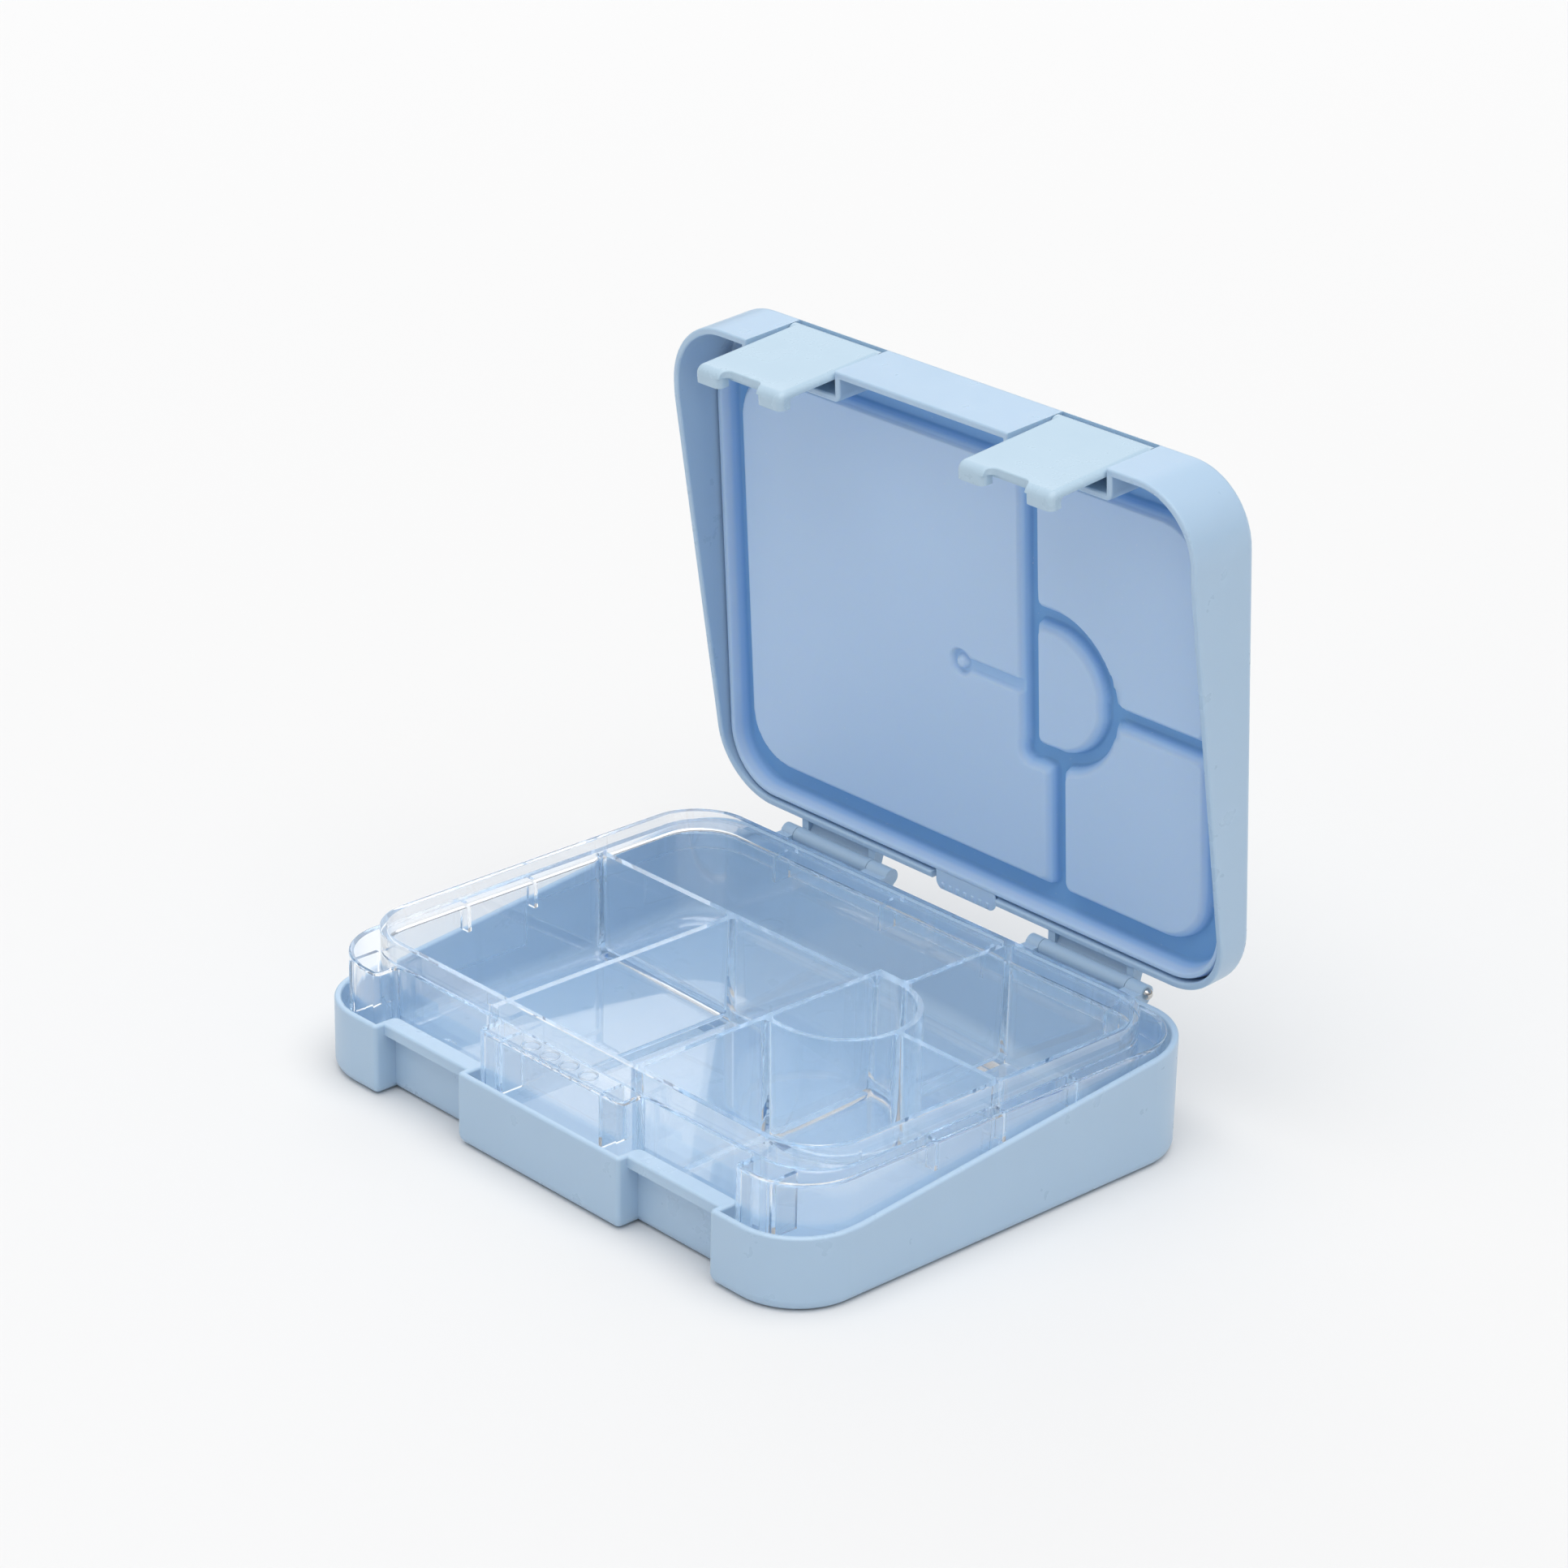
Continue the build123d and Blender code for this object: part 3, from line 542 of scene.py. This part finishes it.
# ---- Seal: one soft silicone mat, moulded with flat pads over the compartments. ----
# A rounded lip runs round it outside the tray's rim, and channels between the pads take the rim
# and the tall dividers. It is pressed into the lid's ceiling. Drawn closed, in millimetres.
SEAL_HALF_X = 105.5
SEAL_FRONT_Y = -71.9
SEAL_BACK_Y = 80.0
SEAL_R = 20.0
SEAL_STEP_Z = 43.3  # above this the mat is narrower, behind the step in the lid
SEAL_STEP_IN = 1.0
SEAL_TOP_Z = 45.85
CHANNEL_Z = 44.75
PAD_Z = 40.25
LIP_Z = 38.65
PAD_HALF_X = 95.4
PAD_FRONT_Y = -63.0
PAD_BACK_Y = 67.5
PAD_R = 16.0
DIP_X, DIP_Y, DIP_R = 36.2, 3.7, 22.4
MAIN_X = 26.6
REAR_X = 37.2
CROSS_Y = 4.2
JOG_Y = 26.85
CHANNEL_HALF = 4.1
SHOULDER_DROP = 0.9
SLOPE_DROP = 1.3
STUB_X, STUB_Y = -1.7, 6.4  # the round end of the shallow stub channel
STUB_HALF = 2.5
STUB_END_R = 4.4
STUB_ISLAND_R = 2.1
STUB_DEPTH = 1.7
OUT_OF_REACH = 99.0
SILICONE_PAD = (0.500, 0.665, 0.890)
# Slope and channel colours: darker as painted shade in the recesses, and bluer where the lid
# shows through.
SILICONE_BANK_SHADE_AND_TINT = (0.36, 0.58, 0.88)
SILICONE_CHANNEL_SHADE_AND_TINT = (0.20, 0.42, 0.74)
SILICONE_SPECK = (0.75, 0.80, 0.90)


def rounded_box(x, y, half_x, front, back_y, radius):
    """Signed distance to a rounded rectangle, positive inside."""
    across_x = np.abs(x) - (half_x - radius)
    across_y = np.abs(y - (front + back_y) / 2) - ((back_y - front) / 2 - radius)
    outside = np.hypot(np.maximum(across_x, 0), np.maximum(across_y, 0))
    return radius - outside - np.minimum(np.maximum(across_x, across_y), 0)


def line_distance(x, y, start, end):
    """Distance to a straight piece of channel between two points."""
    ax, ay = start
    run_x, run_y = end[0] - ax, end[1] - ay
    share = ((x - ax) * run_x + (y - ay) * run_y) / (run_x ** 2 + run_y ** 2)
    share = np.clip(share, 0, 1)
    return np.hypot(x - ax - share * run_x, y - ay - share * run_y)


def soft_min(first, second, radius):
    """The lesser of two distances, with the inner corner rounded to a radius."""
    mix = np.clip(0.5 + 0.5 * (second - first) / radius, 0, 1)
    return second + (first - second) * mix - radius * mix * (1 - mix)


def smooth(value, low, high):
    """0 below low, 1 above high, and an S-curve between."""
    share = np.clip((value - low) / (high - low), 0, 1)
    return share * share * (3 - 2 * share)


def channel_lines(x, y):
    """Distance to the middle line of the nearest divider channel: the long one, its short step
    to the rear one, the cross one on the right, and the half-round one round the dip pad."""
    far = 30.0
    lines = [line_distance(x, y, (MAIN_X, PAD_FRONT_Y - far), (MAIN_X, JOG_Y)),
             line_distance(x, y, (MAIN_X, JOG_Y), (REAR_X, JOG_Y)),
             line_distance(x, y, (REAR_X, JOG_Y), (REAR_X, PAD_BACK_Y + far)),
             line_distance(x, y, (DIP_X + DIP_R, CROSS_Y), (PAD_HALF_X + far, CROSS_Y))]
    ring = np.where(x > DIP_X, np.abs(np.hypot(x - DIP_X, y - DIP_Y) - DIP_R),
                    np.where(x > MAIN_X, np.abs(np.abs(y - DIP_Y) - DIP_R),
                             OUT_OF_REACH))
    lines.append(ring)
    nearest = lines[0]
    for line in lines[1:]:
        nearest = soft_min(nearest, line, 2.2)
    return nearest


def seal_height(x, y):
    """Z of the seal's face. A pad drops to the channel floor by a rounded shoulder, a slope and
    a steep slot, each an S-curve or straight run of the distance past the pad's edge. The lip
    is an S-curve up and down from the outline, and a shallow stub is cut into the big pad."""
    inside = rounded_box(x, y, SEAL_HALF_X, SEAL_FRONT_Y, SEAL_BACK_Y, SEAL_R)
    panel = rounded_box(x, y, PAD_HALF_X, PAD_FRONT_Y, PAD_BACK_Y, PAD_R)
    line = channel_lines(x, y)
    pad = soft_min(panel, line - CHANNEL_HALF, 2.6)
    shoulder = SHOULDER_DROP * smooth(-pad, -0.2, 0.4)
    slope = SLOPE_DROP * np.clip((-pad - 0.4) / 1.5, 0, 1)
    slot = (CHANNEL_Z - PAD_Z - SHOULDER_DROP - SLOPE_DROP) * smooth(-pad, 1.5, 2.2)
    z = PAD_Z + shoulder + slope + slot
    from_end = np.hypot(x - STUB_X, y - STUB_Y)
    stub = np.minimum(line_distance(x, y, (STUB_X, STUB_Y), (MAIN_X - 3, STUB_Y)) - STUB_HALF,
                      from_end - STUB_END_R)
    depth = STUB_DEPTH * (1 - smooth(stub, -0.8, 0.15))
    depth *= smooth(from_end - STUB_ISLAND_R, -0.6, 0.2)
    z = np.maximum(z, np.where(x < MAIN_X, PAD_Z + depth, 0))
    front_share = smooth(y, SEAL_FRONT_Y + 1, SEAL_FRONT_Y + 20)
    bank = (inside - 0.9 - 1.1 * front_share) / (1.5 + 1.0 * front_share)
    lip = smooth(inside, -0.9, 1.0) * (1 - smooth(bank, 0.0, 1.0))
    lip_z = CHANNEL_Z - (CHANNEL_Z - LIP_Z) * lip * (0.55 + 0.45 * front_share)
    return np.minimum(z, np.where(inside < 5.5, lip_z, OUT_OF_REACH))


def steps_between(stops):
    """Grid lines from (start, end, step) runs, each run evenly filled."""
    runs = [np.linspace(a, b, max(2, int(round((b - a) / step)) + 1))[:-1]
            for a, b, step in stops]
    return np.append(np.concatenate(runs), stops[-1][1])


def seal_grid():
    """The height field on a grid whose outer columns are squeezed to the rounded outline, so the
    first and last column follow it; its rows crowd towards the two ends."""
    edge = steps_between([(0, 3.6, 0.3), (3.6, 12.6, 0.45), (12.6, 24.0, 0.5), (24, 44.4, 3.4)])
    middle = steps_between([(-60, -9, 5.1), (-9, 21, 0.75), (21, 34, 0.45), (34, 60, 0.5)])
    columns = np.concatenate([-SEAL_HALF_X + edge, middle[1:-1], (SEAL_HALF_X - edge)[::-1]])
    end = np.array([0, 0.02, 0.06, 0.13, 0.25, 0.42, 0.65, 0.9])
    near_end = steps_between([(1.2, 3.6, 0.3), (3.6, 12.6, 0.45), (12.6, 24.0, 0.6)])
    band = np.concatenate([end, near_end])
    centre = steps_between([(SEAL_FRONT_Y + 24, -24, 4.0), (-24, 33, 0.5),
                            (33, SEAL_BACK_Y - 24, 3.7)])
    rows = np.concatenate([SEAL_FRONT_Y + band, centre[1:-1], (SEAL_BACK_Y - band)[::-1]])
    from_end = np.minimum(rows - SEAL_FRONT_Y, SEAL_BACK_Y - rows)
    short = np.clip(SEAL_R - from_end, 0, SEAL_R)
    half = SEAL_HALF_X - SEAL_R + np.sqrt(np.maximum(SEAL_R ** 2 - short ** 2, 0))
    outer = np.clip(np.abs(columns) - 60, 0, None)
    share = outer[None, :] / (SEAL_HALF_X - 60)
    inner = np.clip(columns, -60, 60)[None, :]
    x = inner + np.sign(columns)[None, :] * share * (half[:, None] - 60)
    y = np.repeat(rows[:, None], len(columns), 1)
    return x, y


def grid_faces(rows, columns):
    """Four corner numbers for each cell of a grid."""
    first = np.arange(rows * columns).reshape(rows, columns)
    return np.stack([first[:-1, :-1], first[1:, :-1], first[1:, 1:], first[:-1, 1:]],
                    -1).reshape(-1, 4)


def border_numbers(number):
    """The corner numbers round the edge of a grid, in order."""
    return np.concatenate([number[0, :-1], number[:-1, -1], number[-1, :0:-1], number[:0:-1, 0]])


def build_seal():
    """The face from the height field, a stepped wall up to the lid's ceiling, and a flat back."""
    x, y = seal_grid()
    z = seal_height(x, y)
    rows, columns = x.shape
    face = np.stack([x, y, z], -1).reshape(-1, 3)
    number = np.arange(rows * columns).reshape(rows, columns)
    border = border_numbers(number)
    centre_y = (SEAL_FRONT_Y + SEAL_BACK_Y) / 2
    loops, numbers, faces = [face], [border], grid_faces(rows, columns).tolist()
    for height, inset in ((SEAL_STEP_Z, 0), (SEAL_STEP_Z, SEAL_STEP_IN),
                          (SEAL_TOP_Z, SEAL_STEP_IN)):
        loop = face[border].copy()
        loop[:, 0] *= 1 - inset / SEAL_HALF_X
        loop[:, 1] = centre_y + (loop[:, 1] - centre_y) * (1 - inset / (SEAL_BACK_Y - centre_y))
        loop[:, 2] = height
        loops.append(loop)
        numbers.append(len(face) + (len(numbers) - 1) * len(border) + np.arange(len(border)))
        below, above_it = numbers[-2], numbers[-1]
        faces += np.stack([below, np.roll(below, -1), np.roll(above_it, -1), above_it],
                          -1).tolist()
    faces.append(numbers[-1].tolist())
    points = opened(np.concatenate(loops) * MM)
    return link_mesh("silicone_seal", points.tolist(), faces)


def silicone_material():
    """Satin silicone: lavender blue, darker in the channels by painted shade and by the lid's
    blue showing through the thin mat, with dust specks and a grain.
    """
    material = bpy.data.materials.new("lavender_silicone")
    tree = node_tree(material)
    place = add_node(tree, "ShaderNodeTexCoord").outputs["Object"]
    skin = use_group(tree, moulded_skin, Place=place, Colour=(*SILICONE_PAD, 1), Mottle=0.02,
                     Gloss_Low=0.40, Gloss_High=0.52, Grain_Size=1800.0)
    closed = add_node(tree, "ShaderNodeMapping", Vector=place, Rotation=CLOSED_TURN,
                      Location=CLOSED_SHIFT).outputs[0]
    sunk = add_node(tree, "ShaderNodeSeparateXYZ", Vector=closed).outputs["Z"]
    # The channels are darker: painted shade in the recesses, and the lid's blue through the thin
    # silicone.
    colour = blend_colour(tree, ramp(tree, sunk, 0.0405, 0.0425), skin.outputs["Colour"],
                          (*SILICONE_BANK_SHADE_AND_TINT, 1))
    colour = blend_colour(tree, ramp(tree, sunk, 0.0425, 0.0446), colour,
                          (*SILICONE_CHANNEL_SHADE_AND_TINT, 1))
    specks = ramp(tree, noise(tree, place, 900.0, 1.0, 0.3), 0.78, 0.82)
    colour = blend_colour(tree, math_node(tree, "MULTIPLY", specks, 0.25), colour,
                          (*SILICONE_SPECK, 1))
    bump = add_node(tree, "ShaderNodeBump", Height=skin.outputs["Height"], Strength=0.15,
                    Distance=0.00003)
    shader = add_node(tree, "ShaderNodeBsdfPrincipled", Base_Color=colour,
                      Roughness=skin.outputs["Roughness"], Normal=bump.outputs[0])
    shader.inputs["IOR"].default_value = 1.41
    shader.inputs["Subsurface Weight"].default_value = 0.25
    shader.inputs["Subsurface Radius"].default_value = (0.4, 0.6, 1.0)
    shader.inputs["Subsurface Scale"].default_value = 0.003
    add_node(tree, "ShaderNodeOutputMaterial", Surface=shader.outputs[0])
    return material


silicone = silicone_material()
seal = build_seal()
seal.data.materials.append(silicone)
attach(seal, "seal")
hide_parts("seal")

# The pull tab: a rounded tongue of the same silicone with grip ribs, through the lid's back wall.
TAB_HALF_X = 12.8
TAB_ROOT_Y = 78.0
TAB_TIP_Y = 85.6
TAB_LOW_Z = 38.45
TAB_HIGH_Z = 39.85
TAB_R = 3.0
TAB_RIBS = 7
TAB_RIB_PITCH = 3.2
TAB_EDGE_R = 0.7
TAB_RIB_HEIGHT = 0.3
TAB_RIB_ENDS = ((82.9, 83.3), (84.4, 84.9))


def tab_sheet(top):
    """One face of the tongue: a rounded rectangle squeezed as the seal's is, its edge rolled by a
    quarter circle, and on the lower face short grip ribs across it."""
    u, v = np.meshgrid(np.linspace(-1, 1, 121), np.linspace(-1, 1, 41))
    y = (TAB_ROOT_Y + TAB_TIP_Y) / 2 + v * (TAB_TIP_Y - TAB_ROOT_Y) / 2
    short = np.clip(TAB_R - (TAB_TIP_Y - y), 0, TAB_R)
    half = TAB_HALF_X - TAB_R + np.sqrt(np.maximum(TAB_R ** 2 - short ** 2, 0))
    x = u * half
    edge = np.minimum(half - np.abs(x), TAB_TIP_Y - y)
    middle = (TAB_LOW_Z + TAB_HIGH_Z) / 2
    thick = (TAB_HIGH_Z - TAB_LOW_Z) / 2
    roll = np.sqrt(np.clip(1 - (1 - np.clip(edge / TAB_EDGE_R, 0, 1)) ** 2, 0, 1))
    rib_x = np.abs((x / TAB_RIB_PITCH + 100.5) % 1 - 0.5) * TAB_RIB_PITCH
    rib = (1 - smooth(rib_x, 0.35, 0.8)) * smooth(y, *TAB_RIB_ENDS[0])
    rib *= 1 - smooth(y, *TAB_RIB_ENDS[1])
    rib *= np.abs(x) < TAB_RIB_PITCH * (TAB_RIBS - 0.6) / 2
    if top:
        return np.stack([x, y, middle + thick * roll], -1)
    low = middle - (thick - TAB_RIB_HEIGHT) * roll - TAB_RIB_HEIGHT * rib * roll
    return np.stack([x, y, low], -1)


lower, upper = tab_sheet(False), tab_sheet(True)
rows, columns = lower.shape[:2]
border = border_numbers(np.arange(rows * columns).reshape(rows, columns))
flipped = grid_faces(rows, columns)[:, ::-1] + rows * columns
joined = np.stack([border, np.roll(border, -1), np.roll(border, -1) + rows * columns,
                   border + rows * columns], -1)
tab_points = opened(np.concatenate([lower.reshape(-1, 3), upper.reshape(-1, 3)]) * MM)
tab = link_mesh("seal_pull_tab", tab_points.tolist(),
                grid_faces(rows, columns).tolist() + flipped.tolist() + joined.tolist())
tab.data.materials.append(silicone)
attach(tab, "seal")
